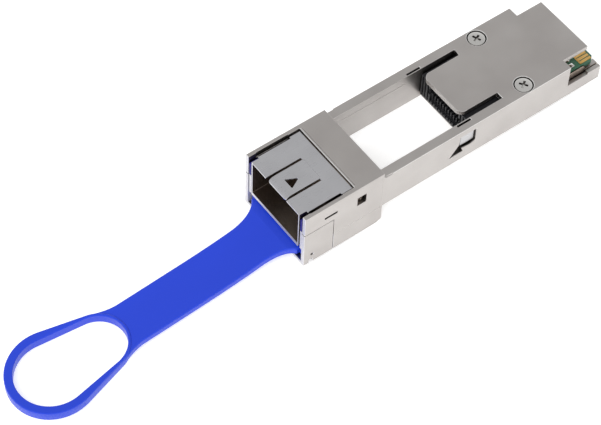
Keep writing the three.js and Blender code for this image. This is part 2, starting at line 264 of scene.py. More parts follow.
# ---- outlines ----
def arc(cx, cy, radius, start, end, steps):
    """Points of an arc, angles in radians."""
    points = []
    for i in range(steps + 1):
        a = start + (end - start) * i / steps
        points.append((cx + radius * math.cos(a), cy + radius * math.sin(a)))
    return points


def bow(p0, p1, p2, steps):
    """Points of a quadratic curve from p0 to p2 that leans towards p1."""
    points = []
    for i in range(steps + 1):
        t = i / steps
        a, b, c = (1 - t) ** 2, 2 * t * (1 - t), t * t
        points.append((a * p0[0] + b * p1[0] + c * p2[0], a * p0[1] + b * p1[1] + c * p2[1]))
    return points


def plate(name, outlines, thickness, edge, steps=3):
    """A flat plate with rounded rims, in millimetres: its outside outline, then its holes."""
    curve = bpy.data.curves.new(name, "CURVE")
    curve.dimensions = "2D"
    curve.fill_mode = "BOTH"
    curve.extrude = (thickness / 2 - edge) * MM
    curve.bevel_depth = edge * MM
    curve.bevel_resolution = steps
    curve.offset = -edge * MM
    for points in outlines:
        spline = curve.splines.new("POLY")
        spline.points.add(len(points) - 1)
        for point, (x, y) in zip(spline.points, points):
            point.co = (x * MM, y * MM, 0, 1)
        spline.use_cyclic_u = True
    bm = bmesh.new()
    bm.from_mesh(mesh_of(name, curve))
    bmesh.ops.remove_doubles(bm, verts=bm.verts, dist=SAME_PLACE)
    bmesh.ops.recalc_face_normals(bm, faces=bm.faces)
    return bm


def slice_along_x(bm, start, end, step):
    """Cuts extra edges across the piece, so that it can bend along X."""
    count = int(round((end - start) / step))
    for i in range(1, count):
        everything = bm.verts[:] + bm.edges[:] + bm.faces[:]
        place = Vector(((start + i * step) * MM, 0, 0))
        bmesh.ops.bisect_plane(bm, geom=everything, dist=ON_PLANE, plane_co=place, plane_no=(1, 0, 0))
    return bm


def square_end(bm, end):
    """Cuts a plate straight across at end, in millimetres, and closes the cut."""
    everything = bm.verts[:] + bm.edges[:] + bm.faces[:]
    place = Vector((end * MM, 0, 0))
    made = bmesh.ops.bisect_plane(
        bm, geom=everything, dist=ON_PLANE, plane_co=place, plane_no=(1, 0, 0), clear_outer=True
    )
    rim = [part for part in made["geom_cut"] if isinstance(part, bmesh.types.BMEdge)]
    bmesh.ops.edgenet_fill(bm, edges=rim)
    bmesh.ops.recalc_face_normals(bm, faces=bm.faces)
    return bm


# ---- materials ----
class Shader:
    """A Principled material and the small set of nodes that its procedural detail is made of."""

    def __init__(self, name, **settings):
        self.material = bpy.data.materials.new(name)
        self.material.use_nodes = True
        self.tree = self.material.node_tree
        self.shader = self.tree.nodes["Principled BSDF"]
        for key, value in settings.items():
            self.shader.inputs[key.replace("_", " ")].default_value = value
        self.place = self.node("ShaderNodeTexCoord").outputs["Object"]

    def node(self, kind, **inputs):
        made = self.tree.nodes.new(kind)
        for key, value in inputs.items():
            socket = made.inputs[key.replace("_", " ")]
            if isinstance(value, bpy.types.NodeSocket):
                self.tree.links.new(value, socket)
            else:
                socket.default_value = value
        return made

    def stretched(self, stretch):
        mapping = self.node("ShaderNodeMapping", Vector=self.place)
        mapping.inputs["Scale"].default_value = stretch
        return mapping.outputs["Vector"]

    def noise(self, size, stretch=(1, 1, 1), detail=3.0):
        """Noise whose features are about size metres across."""
        made = self.node("ShaderNodeTexNoise", Vector=self.stretched(stretch))
        made.inputs["Scale"].default_value = 0.5 / size
        made.inputs["Detail"].default_value = detail
        return made.outputs["Fac"]

    def spread(self, value, low, high, start=0.3, end=0.7):
        """Maps value from start..end to low..high."""
        made = self.node("ShaderNodeMapRange", Value=value)
        made.inputs["From Min"].default_value = start
        made.inputs["From Max"].default_value = end
        made.inputs["To Min"].default_value = low
        made.inputs["To Max"].default_value = high
        return made.outputs["Result"]

    def mix(self, factor, a, b):
        made = self.tree.nodes.new("ShaderNodeMix")
        made.data_type = "RGBA"
        sockets = {"F": made.inputs[0], "A": made.inputs[6], "B": made.inputs[7]}
        for key, value in (("A", a), ("B", b), ("F", factor)):
            if isinstance(value, bpy.types.NodeSocket):
                self.tree.links.new(value, sockets[key])
            else:
                sockets[key].default_value = value if key == "F" else (*value, 1.0)
        return made.outputs[2]

    def edges(self, radius):
        """1 on rounded edges and corners, 0 on flat faces; the materials paint highlights and dark outlines
        with it.
        """
        bevel = self.node("ShaderNodeBevel")
        bevel.samples = 4
        bevel.inputs["Radius"].default_value = radius
        normal = self.node("ShaderNodeNewGeometry").outputs["Normal"]
        dot = self.node("ShaderNodeVectorMath")
        dot.operation = "DOT_PRODUCT"
        self.tree.links.new(bevel.outputs["Normal"], dot.inputs[0])
        self.tree.links.new(normal, dot.inputs[1])
        return self.spread(dot.outputs["Value"], 1.0, 0.0, 0.75, 0.98)

    def crevices(self, distance):
        """An ambient-occlusion mask, 1 in the open, 0 deep in gaps and pockets; the materials paint shade
        with it.
        """
        made = self.node("ShaderNodeAmbientOcclusion")
        made.samples = 6
        made.inputs["Distance"].default_value = distance
        return self.spread(made.outputs["AO"], 0.0, 1.0, 0.12, 0.52)

    def bump(self, height, distance, strength=1.0, normal=None):
        made = self.node("ShaderNodeBump", Height=height)
        made.inputs["Distance"].default_value = distance
        made.inputs["Strength"].default_value = strength
        if normal is not None:
            self.tree.links.new(normal, made.inputs["Normal"])
        return made.outputs["Normal"]

    def use(self, **sockets):
        for key, value in sockets.items():
            self.tree.links.new(value, self.shader.inputs[key.replace("_", " ")])
        return self.material


def cast_metal():
    """Satin nickel over a die casting: fine grain, faint clouding, painted shade in gaps and pockets, and
    brighter edges that are a painted highlight, partly also edge wear.
    """
    s = Shader("cast_nickel", Metallic=1.0)
    grain = s.noise(0.12 * MM, detail=4.0)
    cloud = s.noise(4.0 * MM, detail=2.0)
    body = s.mix(s.spread(cloud, 0.0, 1.0), (0.435, 0.410, 0.395), (0.485, 0.462, 0.445))
    # Painted shade: a dark brown colour mixed in where ambient occlusion finds gaps and pockets.
    with_painted_shade = s.mix(s.crevices(2.5 * MM), (0.09, 0.075, 0.065), body)
    # Painted highlight, partly also edge wear: a pale colour on the rounded edges.
    colour = s.mix(s.edges(0.2 * MM), with_painted_shade, (0.80, 0.78, 0.76))
    rough = s.spread(grain, 0.30, 0.42)
    return s.use(Base_Color=colour, Roughness=rough, Normal=s.bump(grain, 0.01 * MM, 0.5))


def sheet_metal(name, tone, rough_low, rough_high, stretch, shade=2.0 * MM):
    """Rolled sheet: streaks along the rolling direction, painted shade in gaps and pockets, and a painted
    highlight on the sheared edges.
    """
    s = Shader(name, Metallic=1.0)
    streaks = s.noise(0.08 * MM, stretch=stretch, detail=5.0)
    cloud = s.noise(3.0 * MM, detail=2.0)
    darker = tuple(0.9 * c for c in tone)
    body = s.mix(s.spread(cloud, 0.0, 1.0), darker, tone)
    # Painted shade: a dark colour mixed in where ambient occlusion finds gaps and pockets.
    with_painted_shade = s.mix(s.crevices(shade), (0.07, 0.06, 0.055), body)
    # Painted highlight: the sheared edges a quarter brighter than the sheet.
    colour = s.mix(s.edges(0.08 * MM), with_painted_shade, tuple(min(1.0, 1.25 * c) for c in tone))
    rough = s.spread(streaks, rough_low, rough_high)
    return s.use(Base_Color=colour, Roughness=rough, Normal=s.bump(streaks, 0.006 * MM, 0.45))


def moulded_plastic(name, colour, rough, grain_size, height, painted_edge_tone):
    """Moulded plastic with a fine spark-eroded texture; its edges take the last colour given, a painted
    highlight where that is paler and a painted dark outline where it is darker.
    """
    s = Shader(name, IOR=1.5, Specular_IOR_Level=0.38)
    grain = s.noise(grain_size, detail=3.0)
    flow = s.noise(9.0 * MM, stretch=(0.4, 1, 1), detail=2.0)
    darker = tuple(0.88 * c for c in colour)
    body = s.mix(s.spread(flow, 0.0, 1.0), darker, colour)
    # The edges take the last colour given: a painted highlight or a painted dark outline.
    tone = s.mix(s.edges(0.3 * MM), body, painted_edge_tone)
    roughness = s.spread(grain, rough - 0.06, rough + 0.06)
    return s.use(Base_Color=tone, Roughness=roughness, Normal=s.bump(grain, height, 0.5))


def board_laminate():
    """Green solder mask: traces show through as faint raised lines, with the weave under it, and painted
    shade darkens it in gaps and beside parts.
    """
    s = Shader("board_mask", IOR=1.5)
    s.shader.inputs["Coat Weight"].default_value = 0.3
    s.shader.inputs["Coat Roughness"].default_value = 0.15
    traces = s.node("ShaderNodeTexBrick", Vector=s.stretched((600, 1700, 600)))
    traces.inputs["Color1"].default_value = (1, 1, 1, 1)
    traces.inputs["Color2"].default_value = (0.8, 0.8, 0.8, 1)
    traces.inputs["Mortar"].default_value = (0, 0, 0, 1)
    traces.inputs["Mortar Size"].default_value = 0.06
    lines = traces.outputs["Fac"]
    mask = s.mix(lines, (0.035, 0.15, 0.075), (0.02, 0.085, 0.05))
    # Painted shade: a near-black green mixed in where ambient occlusion finds gaps and hollows.
    tone = s.mix(s.crevices(3.0 * MM), (0.006, 0.014, 0.01), mask)
    weave = s.noise(0.15 * MM)
    rough = s.spread(weave, 0.3, 0.45)
    return s.use(Base_Color=tone, Roughness=rough, Normal=s.bump(lines, 0.02 * MM, 0.4))


def gold_plate():
    """Thin gold over nickel, wiped lengthwise by the mating contacts."""
    s = Shader("gold_plate", Metallic=1.0)
    wipe = s.noise(0.05 * MM, stretch=(0.08, 1, 1), detail=4.0)
    tone = s.mix(s.spread(wipe, 0.0, 1.0), (0.62, 0.36, 0.10), (0.80, 0.52, 0.20))
    rough = s.spread(wipe, 0.2, 0.34)
    return s.use(Base_Color=tone, Roughness=rough, Normal=s.bump(wipe, 0.0015 * MM, 0.3))


def ceramic(name, colour):
    """A pressed and fired body with a fine speckle."""
    s = Shader(name, IOR=1.6)
    speckle = s.noise(0.06 * MM, detail=4.0)
    tone = s.mix(s.spread(speckle, 0.0, 1.0), tuple(0.75 * c for c in colour), colour)
    rough = s.spread(speckle, 0.4, 0.6)
    return s.use(Base_Color=tone, Roughness=rough, Normal=s.bump(speckle, 0.006 * MM, 0.5))


NICKEL = cast_metal()
EVEN, LENGTHWISE, UPRIGHT = (1, 1, 1), (0.06, 1, 1), (1, 1, 0.06)
CAGE_SHEET = sheet_metal("cage_sheet", (0.545, 0.545, 0.565), 0.26, 0.36, LENGTHWISE)
# A dark brown copy of the sheet: painted shade for the cage's inside and the dark sides of the tray's
# notch.
PAINTED_SHADE_SHEET = sheet_metal("painted_shade_sheet", (0.30, 0.245, 0.205), 0.26, 0.42, UPRIGHT, 0.5 * MM)
STAMPED = sheet_metal("stamped_steel", (0.52, 0.52, 0.53), 0.26, 0.36, (0.05, 1, 1), 0.3 * MM)
# A much paler copy of the nickel: a painted highlight on a few edge faces of the casting.
PAINTED_HIGHLIGHT = sheet_metal("painted_highlight_nickel", (0.86, 0.85, 0.84), 0.30, 0.40, EVEN, 0.1 * MM)
# A paler, matt, half-metallic copy of the steel: partly a matt finish, partly painted light that makes
# faces picked by the way they face read whiter.
MATT = sheet_metal("pale_matt_steel", (0.65, 0.64, 0.65), 0.50, 0.60, EVEN, 0.1 * MM)
MATT.node_tree.nodes["Principled BSDF"].inputs["Metallic"].default_value = 0.5
SPRING_WIRE = sheet_metal("spring_wire", (0.45, 0.45, 0.46), 0.22, 0.32, EVEN)
SCREW_PLATE = sheet_metal("screw_plate", (0.66, 0.65, 0.63), 0.16, 0.24, EVEN)
FINE = 0.008 * MM
# The last colour of each plastic is its edge colour: a painted dark outline on the blue, a painted
# highlight on the others.
BLUE = moulded_plastic("blue_plastic", (0.010, 0.045, 0.56), 0.36, 0.10 * MM, FINE, (0.006, 0.02, 0.30))
NAVY = moulded_plastic("shaded_blue", (0.012, 0.009, 0.15), 0.45, 0.10 * MM, FINE, (0.02, 0.02, 0.3))
BLACK = moulded_plastic("black_nylon", (0.012, 0.012, 0.014), 0.48, 0.06 * MM, FINE, (0.05, 0.05, 0.055))
COMPOUND = (0.015, 0.015, 0.016)
CHIP_BLACK = moulded_plastic("chip_compound", COMPOUND, 0.55, 0.04 * MM, 0.006 * MM, (0.06, 0.06, 0.06))
MASK = board_laminate()
GOLD = gold_plate()
FERRITE = ceramic("ferrite", (0.09, 0.085, 0.08))
CAPACITOR = ceramic("capacitor_body", (0.42, 0.30, 0.20))


# ---- pieces kept on their CAD shape, with rounded edges and finer features ----
def polished(node, body, slot, material, width, cuts=(), joins=(), segments=2):
    """A CAD node's own shape with boxes added and cut away, then rounded edges."""
    obj = object_from(node + "_finished", cad_copy(node))
    if joins:
        join(obj, boxes(*joins))
    if cuts:
        cut(obj, boxes(*cuts))
    round_edges(obj, width, segments)
    return finish_piece(obj, body, slot, material, node)


def repaint(obj, material, chosen):
    """Gives some faces another finish: chosen is asked with a face's middle, in millimetres, and normal."""
    obj.data.materials.append(material)
    for face in obj.data.polygons:
        if chosen(face.center / MM, face.normal):
            face.material_index = len(obj.data.materials) - 1
    return obj


def painted_highlight_faces(place, normal):
    """The faces that get a painted highlight: the bridge's front ridge, and the rims of the cover's tongue,
    slots and screw holes.
    """
    ridge = place.z > 9.2 and place.x < -6.1 and normal.z > 0.2 > normal.x + 0.3
    rim = 20 < place.x < 38 and place.z > 8.3 and 0.15 < normal.z < 0.97
    return ridge or rim


def painted_pale_front(place, normal):
    """The block's front faces, which take the paler matt copy, partly painted light."""
    return normal.x < -0.3 and place.x < -17.0


def front_or_inward(place, normal):
    """Faces that look forwards, or from a side wall towards the centre plane."""
    return normal.x < -0.3 or place.y * normal.y < -0.5 * abs(place.y)


def notch_sides(place, normal):
    """The tray's upstands, in the dark beside the board, where shade is painted on."""
    return place.x > 38 and place.z > 0.9 and abs(place.y) > 7.7 and normal.x < 0.5


def castings():
    """The four castings: grooves, reliefs and a small ridge are finer than their CAD solids."""
    rail_groove = mirrored([((0.4, 7.1, 6.5), (17.6, 7.28, 6.62))])
    corner_relief = mirrored([((0.25, 9.02, 8.2), (1.9, 9.3, 8.62))])
    wall_room = mirrored([((-16.3, 8.2, 8.4), (-9.0, 8.42, 9.9))])
    bridge_groove = [((-6.1, -8.0, 9.56), (-5.95, 8.0, 9.9))]
    features = rail_groove + corner_relief + wall_room + bridge_groove
    body = polished("main_frame", "frame", "casting", NICKEL, CAST_EDGE, cuts=features, segments=3)
    # Painted highlight: the paler nickel on the bridge's ridge and the cover's rims.
    repaint(body, PAINTED_HIGHLIGHT, painted_highlight_faces)
    # Painted light: the block's front faces take the paler matt copy.
    repaint(body, MATT, painted_pale_front)
    collar = polished("front_collar", "frame", "casting", NICKEL, CAST_EDGE)
    belly = polished("belly_cover", "frame", "casting", NICKEL, CAST_EDGE)
    for part in (collar, belly):
        # Painted light: the front and inward faces take the paler matt copy, so they read whiter.
        repaint(part, MATT, front_or_inward)
    ridge = mirrored([((44.9, 7.98, 4.2), (49.4, 8.14, 4.75))])
    tray = polished("bottom_tray", "frame", "casting", NICKEL, TRAY_EDGE, joins=ridge)
    # Painted shade: the notch's upstands take the dark brown copy.
    repaint(tray, PAINTED_SHADE_SHEET, notch_sides)


def cage():
    """The folded cage: wider slits beside the latch leaf, a turned-down front lip, an inside painted dark
    brown as painted shade, and a front painted paler as painted light.
    """
    roof = CAGE_HIGH.z / MM
    leaf_left, leaf_right = LEAF_LOW.y / MM, LEAF_HIGH.y / MM
    slit, sheet, overlap, clearance = 0.5, 0.3, 0.01, 0.02
    slit_front, slit_end = -18.5, -10.1
    under, above = roof - 2 * sheet, roof + 0.5
    slits = [
        ((slit_front, leaf_left - slit, under), (slit_end, leaf_left + overlap, above)),
        ((slit_front, leaf_right - overlap, under), (slit_end, leaf_right + slit, above)),
    ]
    root = [((-10.4, leaf_left - slit - 0.2, roof - sheet), (-9.3, leaf_right + slit + 0.2, roof))]
    hinge = LEAF_HIGH.x / MM + clearance
    gap = [((-10.6, leaf_left - clearance, roof - 0.5), (hinge, leaf_right + clearance, above))]
    side_room = mirrored([((-16.2, 7.62, under), (-9.0, 8.2, above))])
    snap_ends = mirrored([((-6.2, 8.35, 4.0), (-3.9, 9.5, 7.0))])
    stubs = mirrored([((-5.25, 7.2, 5.45), (-4.95, 8.75, 5.75))])
    lip = ((-18.0, -7.25, -0.5), (-17.75, 7.25, 0.3))
    obj = object_from("module_cage_finished", cad_copy("module_cage"))
    join(obj, boxes(*root))
    cut(obj, boxes(*slits, *side_room))
    cut(obj, boxes(*snap_ends))
    join(obj, boxes(lip, *stubs))
    round_edges(obj, SHEET_EDGE)
    cut(obj, boxes(*gap))
    smooth(obj)
    finish_piece(obj, "frame", "sheet_metal", CAGE_SHEET, "module_cage")
    obj.data.materials.append(PAINTED_SHADE_SHEET)
    # Painted shade: the inside walls, ceiling and floor take the dark brown copy.
    for face in obj.data.polygons:
        middle, normal = face.center, face.normal
        wall = abs(normal.y) > 0.5 and middle.z < CAGE_HIGH.z - 0.35 * MM
        ceiling = normal.z < -0.5 and middle.z > 1 * MM
        floor = normal.z > 0.5 and middle.z < 2 * MM
        if wall or ceiling or floor:
            face.material_index = 1
    front = CAGE_LOW.x / MM
    # Painted light: the cage's front faces take the paler matt copy.
    repaint(obj, MATT, lambda place, normal: normal.x < -0.5 and place.x < front + 0.1)


def latch_leaf():
    """The leaf bends at its root: flat, with a turned-down tip and a rounded three-cornered hole."""
    front, root = LEAF_LOW.x / MM, LEAF_HIGH.x / MM
    left, right = LEAF_LOW.y / MM, LEAF_HIGH.y / MM
    aside = 0.3
    middle = (left + right) / 2 - aside
    sheet, spare, corner = 0.3, 0.2, 0.35
    outside = [(root + spare, left), (root + spare, right)]
    outside += arc(front + corner, right - corner, corner, math.pi / 2, math.pi, 5)
    outside += arc(front + corner, left + corner, corner, math.pi, 1.5 * math.pi, 5)
    base_x, tip_x, half_base, hole_corner = -15.5, -13.1, 1.25, 0.16
    corners = [(base_x, middle - half_base), (tip_x, middle), (base_x, middle + half_base)]
    hole = rounded(corners, hole_corner)
    bm = plate("leaf", [outside, hole], sheet, CONTACT_EDGE / MM)
    square_end(bm, root)
    step = 0.35
    slice_along_x(bm, front, root, step)
    bend_from, drop = front + 1.4, 0.55
    for vert in bm.verts:
        reach = max(0.0, (bend_from - vert.co.x / MM) / (bend_from - front))
        vert.co.z += (CAGE_HIGH.z / MM - sheet / 2 - drop * reach**2) * MM
    obj = smooth(object_from("cage_latch_leaf_finished", bm))
    finish_piece(obj, "latch_leaf", "sheet_metal", CAGE_SHEET, "cage_latch_leaf")


def rounded(corners, radius, steps=4):
    """A polygon's corners turned into short bows."""
    out = []
    count = len(corners)
    for i, corner in enumerate(corners):
        here = Vector(corner)
        before = (Vector(corners[i - 1]) - here).normalized() * radius * 2
        after = (Vector(corners[(i + 1) % count]) - here).normalized() * radius * 2
        out += bow(here + before, here, here + after, steps)
    return out


# ---- pull tab, in millimetres ----
STRAP_HALF, STRAP_THICKNESS, ROOT_HALF, NECK_X = 4.6, 1.6, 7.1, -50.0
LOOP_X, LOOP_R = -67.0, 8.7
HOLE_FAR_R, HOLE_NEAR_X, HOLE_NEAR_R = 7.05, -57.4, 5.6
GRIP_TOP = -1.1


def strap_top(distance):
    """Height of the strap's top at a distance in front of the block: it droops, then runs straight."""
    start, droop, reach, slope = -1.6, 2.2, 6, 0.066
    return start - droop * (1 - math.exp(-distance / reach)) - slope * distance


def tangent_loop(far_x, far_r, near_x, near_r, steps):
    """Two circles round the centre line and the tangents that join them."""
    lean = math.asin((far_r - near_r) / (near_x - far_x))
    far = arc(far_x, 0, far_r, math.pi / 2 - lean, 1.5 * math.pi + lean, steps)
    near = arc(near_x, 0, near_r, 1.5 * math.pi + lean, 2.5 * math.pi - lean, steps)
    return far + near


def strap_outline():
    """The strap in plan: flared root, parallel sides, neck, and the loop's outside."""
    front = BLOCK_FRONT / MM
    half, neck = STRAP_HALF, NECK_X
    lean = 0.285
    tangent = (LOOP_X + LOOP_R * math.sin(lean), LOOP_R * math.cos(lean))
    left = [(front + 1.2, ROOT_HALF), (front, ROOT_HALF)]
    left += bow((front, ROOT_HALF), (front - 1.4, half + 0.15), (front - 6.2, half), 12)
    left += bow((neck, half), (neck - 2.2, half), (neck - 5.0, half + 1.25), 8)
    left.append(tangent)
    loop = arc(LOOP_X, 0, LOOP_R, math.pi / 2 - lean, 1.5 * math.pi + lean, 48)
    right = [(x, -y) for x, y in reversed(left)]
    return left + loop + right


def strap_and_loop():
    """The flat strap and its finger loop with a raised rim, bent down to the strap's droop."""
    front = BLOCK_FRONT / MM
    hole = tangent_loop(LOOP_X, HOLE_FAR_R, HOLE_NEAR_X, HOLE_NEAR_R, 40)
    rim_outside = tangent_loop(LOOP_X, LOOP_R, HOLE_NEAR_X, HOLE_NEAR_R + 0.6, 40)
    rim_rise, rim_drop = 0.2, 0.45
    strap_rounding, rim_rounding = 0.32, 0.28
    strap = plate("strap", [strap_outline(), hole], STRAP_THICKNESS, strap_rounding)
    obj = object_from("pull_tab_finished", strap)
    rim_height = STRAP_THICKNESS + rim_rise + rim_drop
    rim = plate("rim", [rim_outside, hole], rim_height, rim_rounding, steps=4)
    bmesh.ops.translate(rim, verts=rim.verts, vec=(0, 0, (rim_rise - rim_drop) / 2 * MM))
    join(obj, rim)
    bm = opened(obj)
    loop_end, step = -76.0, 0.8
    slice_along_x(bm, loop_end, front, step)
    for vert in bm.verts:
        distance = max(0.0, front - vert.co.x / MM)
        vert.co.z += (strap_top(distance) - STRAP_THICKNESS / 2) * MM
    return closed(bm, obj)


def grip_root():
    """The block that grips the slide's plate, with an ear up each side of the cage."""
    front = BLOCK_FRONT / MM
    start = front + 0.9 - 0.1
    ear_end, tongue_end = -15.6, -13.0
    low, high = -3.5, GRIP_TOP
    ear_inner, ear_outer, ear_top = 7.55, 8.1, 8.3
    grip = object_from("grip", boxes(((start, -ROOT_HALF, low), (ear_end, ROOT_HALF, high))))
    wings = ((start, -ear_outer, low), (ear_end, ear_outer, high))
    tongue = ((ear_end - 0.1, -ROOT_HALF, low), (tongue_end, ROOT_HALF, high))
    join(grip, boxes(wings, tongue))
    for corner in ((start, ear_inner, -3.4), (front + 0.1, ear_inner, 4.9)):
        join(grip, boxes(*mirrored([(corner, (ear_end, ear_outer, ear_top))])))
    plate_pocket = ((-15.5, -10, -2.85), (-12, 10, -1.75))
    cut(grip, boxes(plate_pocket))
    round_edges(grip, GRIP_EDGE, 3)
    return mesh_only(grip)


def pull_tab():
    """Strap and loop moulded on to the gripping root; what lies inside the block is in its shade."""
    obj = strap_and_loop()
    join(obj, grip_root())
    smooth(obj, 50.0)
    finish_piece(obj, "pull", "pull_plastic", BLUE, "pull_tab")
    front = BLOCK_FRONT / MM
    repaint(obj, NAVY, lambda place, normal: place.x > front and place.z > GRIP_TOP)


# ---- fasteners, springs and the parts on the board ----
def lathe(bm, profile, steps):
    """Turns a profile of (radius, height) points, in millimetres, about the Z axis."""
    rings = []
    for radius, height in profile:
        if radius < 1e-9:
            rings.append([bm.verts.new((0, 0, height * MM))])
            continue
        points = arc(0, 0, radius * MM, 0, 2 * math.pi, steps)[:-1]
        rings.append([bm.verts.new((x, y, height * MM)) for x, y in points])
    for lower, upper in zip(rings, rings[1:]):
        for i in range(steps):
            j = (i + 1) % steps
            corners = [lower[i % len(lower)], lower[j % len(lower)]]
            corners += [upper[j % len(upper)], upper[i % len(upper)]]
            unique = list(dict.fromkeys(corners))
            if len(unique) > 2:
                bm.faces.new(unique)
    bmesh.ops.recalc_face_normals(bm, faces=bm.faces)
    return bm


def cover_screw(side, sign):
    """A low pan head with a cross recess, on a shank ringed by thread ridges."""
    x = (SCREW_LOW.x + SCREW_HIGH.x) / 2
    y = sign * (SCREW_LOW.y + SCREW_HIGH.y) / 2
    head = (SCREW_HIGH.x - SCREW_LOW.x) / 2 / MM
    top, low = SCREW_HIGH.z / MM, SCREW_LOW.z / MM
    head_height = 0.62
    seat = top - head_height
    crest, core, pitch = 0.8, 0.68, 0.3
    profile = [(0, low), (0.55, low), (0.78, low + 0.25)]
    turns = int((seat - low - 0.8) / pitch)
    for i in range(turns):
        height = low + 0.4 + pitch * i
        profile += [(crest, height), (core, height + pitch / 2)]
    profile += [(0.72, seat - 0.1), (crest, seat), (head - 0.1, seat), (head, seat + 0.1)]
    profile += [(head, top - 0.3), (head - 0.12, top - 0.12), (head - 0.4, top - 0.03)]
    profile += [(crest, top), (0, top)]
    obj = object_from("cover_screw_" + side + "_finished", lathe(bmesh.new(), profile, 48))
    reach, half, depth, taper = 1.05, 0.27, 0.55, 0.72
    recess = object_from("recess", boxes(((-reach, -half, top - depth), (reach, half, top + 0.5))))
    join(recess, boxes(((-half, -reach, top - depth), (half, reach, top + 0.5))))
    bm = mesh_only(recess)
    for vert in bm.verts:
        if vert.co.z < top * MM - 0.1 * MM:
            vert.co.x *= taper
            vert.co.y *= taper
    degrees = 22 if sign > 0 else 35
    bmesh.ops.transform(bm, matrix=Matrix.Rotation(math.radians(degrees), 4, "Z"), verts=bm.verts)
    cut(obj, bm)
    obj.data.transform(Matrix.Translation((x, y, 0)))
    smooth(obj, 35.0)
    finish_piece(obj, "frame", "screw_steel", SCREW_PLATE, "cover_screw_" + side)


def return_spring(side):
    """A round-wire coil, wound closer at its ends; the real spring shortens as the slide is pulled."""
    node = "return_spring_" + side
    low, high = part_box(node)
    middle = (low + high) / 2
    wire = 0.13 * MM
    radius = (high.y - low.y) / 2 - wire
    length = high.x - low.x - 2 * wire
    turns, steps, closing = 9, 24, 0.055
    curve = bpy.data.curves.new(node, "CURVE")
    curve.dimensions = "3D"
    curve.bevel_depth = wire
    curve.bevel_resolution = 3
    curve.use_fill_caps = True
    spline = curve.splines.new("POLY")
    spline.points.add(turns * steps)
    for i, point in enumerate(spline.points):
        t = i / (turns * steps)
        eased = t - closing * math.sin(2 * math.pi * t)
        angle = 2 * math.pi * turns * t
        along = low.x + wire + length * eased
        point.co = (along, middle.y + radius * math.cos(angle), middle.z + radius * math.sin(angle), 1)
    obj = new_object(node + "_finished", mesh_of(node + "_curve", curve))
    obj.data.shade_smooth()
    finish_piece(obj, "frame", "spring_steel", SPRING_WIRE, node)
    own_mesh(obj)


def socket():
    """The black contact connector: fine upright ribs in front, a card slot, a roof over its tails."""
    x0, x1 = SOCKET_LOW.x / MM, SOCKET_HIGH.x / MM
    half = SOCKET_HIGH.y / MM
    low, high = SOCKET_LOW.z / MM, SOCKET_HIGH.z / MM
    obj = object_from("socket_housing_finished", cad_copy("socket_housing"))
    pitch, wide, deep, count = 0.8, 0.36, 0.55, 16
    grooves = []
    for i in range(count + 1):
        y = (i - count / 2) * pitch
        grooves.append(((x0 - 1, y - wide / 2, low + 0.35), (x0 + deep, y + wide / 2, high - 0.15)))
    cut(obj, boxes(*grooves))
    tail = x1 + 3.1
    roof = ((x1 - 0.5, -half, high - 1.0), (tail, half, high))
    skirt = ((x1 + 0.6, -half, high - 1.5), (tail, half, high - 0.5))
    join(obj, boxes(roof))
    join(obj, boxes(skirt))
    round_edges(obj, MOULDED_EDGE)
    finish_piece(obj, "frame", "socket_plastic", BLACK, "socket_housing")


def board_chip(node, slot, material):
    """A moulded package with short gull-wing legs along two sides and a dimple over pin one."""
    low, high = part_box(node)
    size = high - low
    obj = object_from(node + "_finished", cad_copy(node))
    x0, x1 = low.x / MM, high.x / MM
    y0, y1, z0 = low.y / MM, high.y / MM, low.z / MM
    inset, z1 = 0.3, high.z / MM
    cut(obj, boxes(*[((x0 - 1, y - inset, z0 - 1), (x1 + 1, y + inset, z1 + 1)) for y in (y0, y1)]))
    legs = []
    leg_pitch, leg_half, leg_high, bite = 0.65, 0.13, 0.14, 0.1
    count = int(size.x / MM / leg_pitch)
    for i in range(count):
        x = (x0 + x1) / 2 + (i - (count - 1) / 2) * leg_pitch
        for near, far in ((y0, y0 + inset + bite), (y1 - inset - bite, y1)):
            legs.append(((x - leg_half, near, z0), (x + leg_half, far, z0 + leg_high)))
    dimple = bmesh.new()
    place = Matrix.Translation(((x0 + 0.6) * MM, (y1 - inset - 0.45) * MM, high.z))
    sizes = {"radius1": 0.2 * MM, "radius2": 0.24 * MM, "depth": 0.1 * MM}
    bmesh.ops.create_cone(dimple, cap_ends=True, segments=20, matrix=place, **sizes)
    cut(obj, dimple)
    join(obj, boxes(*legs))
    round_edges(obj, MOULDED_EDGE)
    finish_piece(obj, "frame", slot, material, node)


def end_capped(node, slot, material, band, band_material):
    """A two-terminal part: its body between two wrapped metal end caps."""
    low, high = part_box(node)
    x0, x1 = low.x / MM, high.x / MM
    obj = object_from(node + "_finished", cad_copy(node))
    sunk = 0.05
    y0, y1, z1 = low.y / MM, high.y / MM, high.z / MM
    waist = ((x0 + band, y0 - 1, z1 - sunk), (x1 - band, y1 + 1, z1 + 1))
    sides = [((x0 + band, y - sunk, -1), (x1 - band, y + sunk, z1 + 1)) for y in (y0, y1)]
    cut(obj, boxes(waist, *sides))
    round_edges(obj, MOULDED_EDGE)
    finish_piece(obj, "frame", slot, material, node)
    obj.data.materials.append(band_material)
    for face in obj.data.polygons:
        x = face.center.x / MM
        if x < x0 + band or x > x1 - band:
            face.material_index = 1


def solder_pads():
    """Tinned pads in a row across the board, just in front of its contacts."""
    top = BOARD_HIGH.z / MM
    count, pitch, half = 10, 1.5, 0.45
    front, rear = 46.9, 47.9
    pads = []
    for i in range(count):
        y = (i - (count - 1) / 2) * pitch
        pads.append(((front, y - half, top + 0.005), (rear, y + half, top + 0.05)))
    obj = object_from("solder_pads", boxes(*pads))
    round_edges(obj, PAD_EDGE)
    finish_piece(obj, "frame", "contact_gold", SCREW_PLATE)


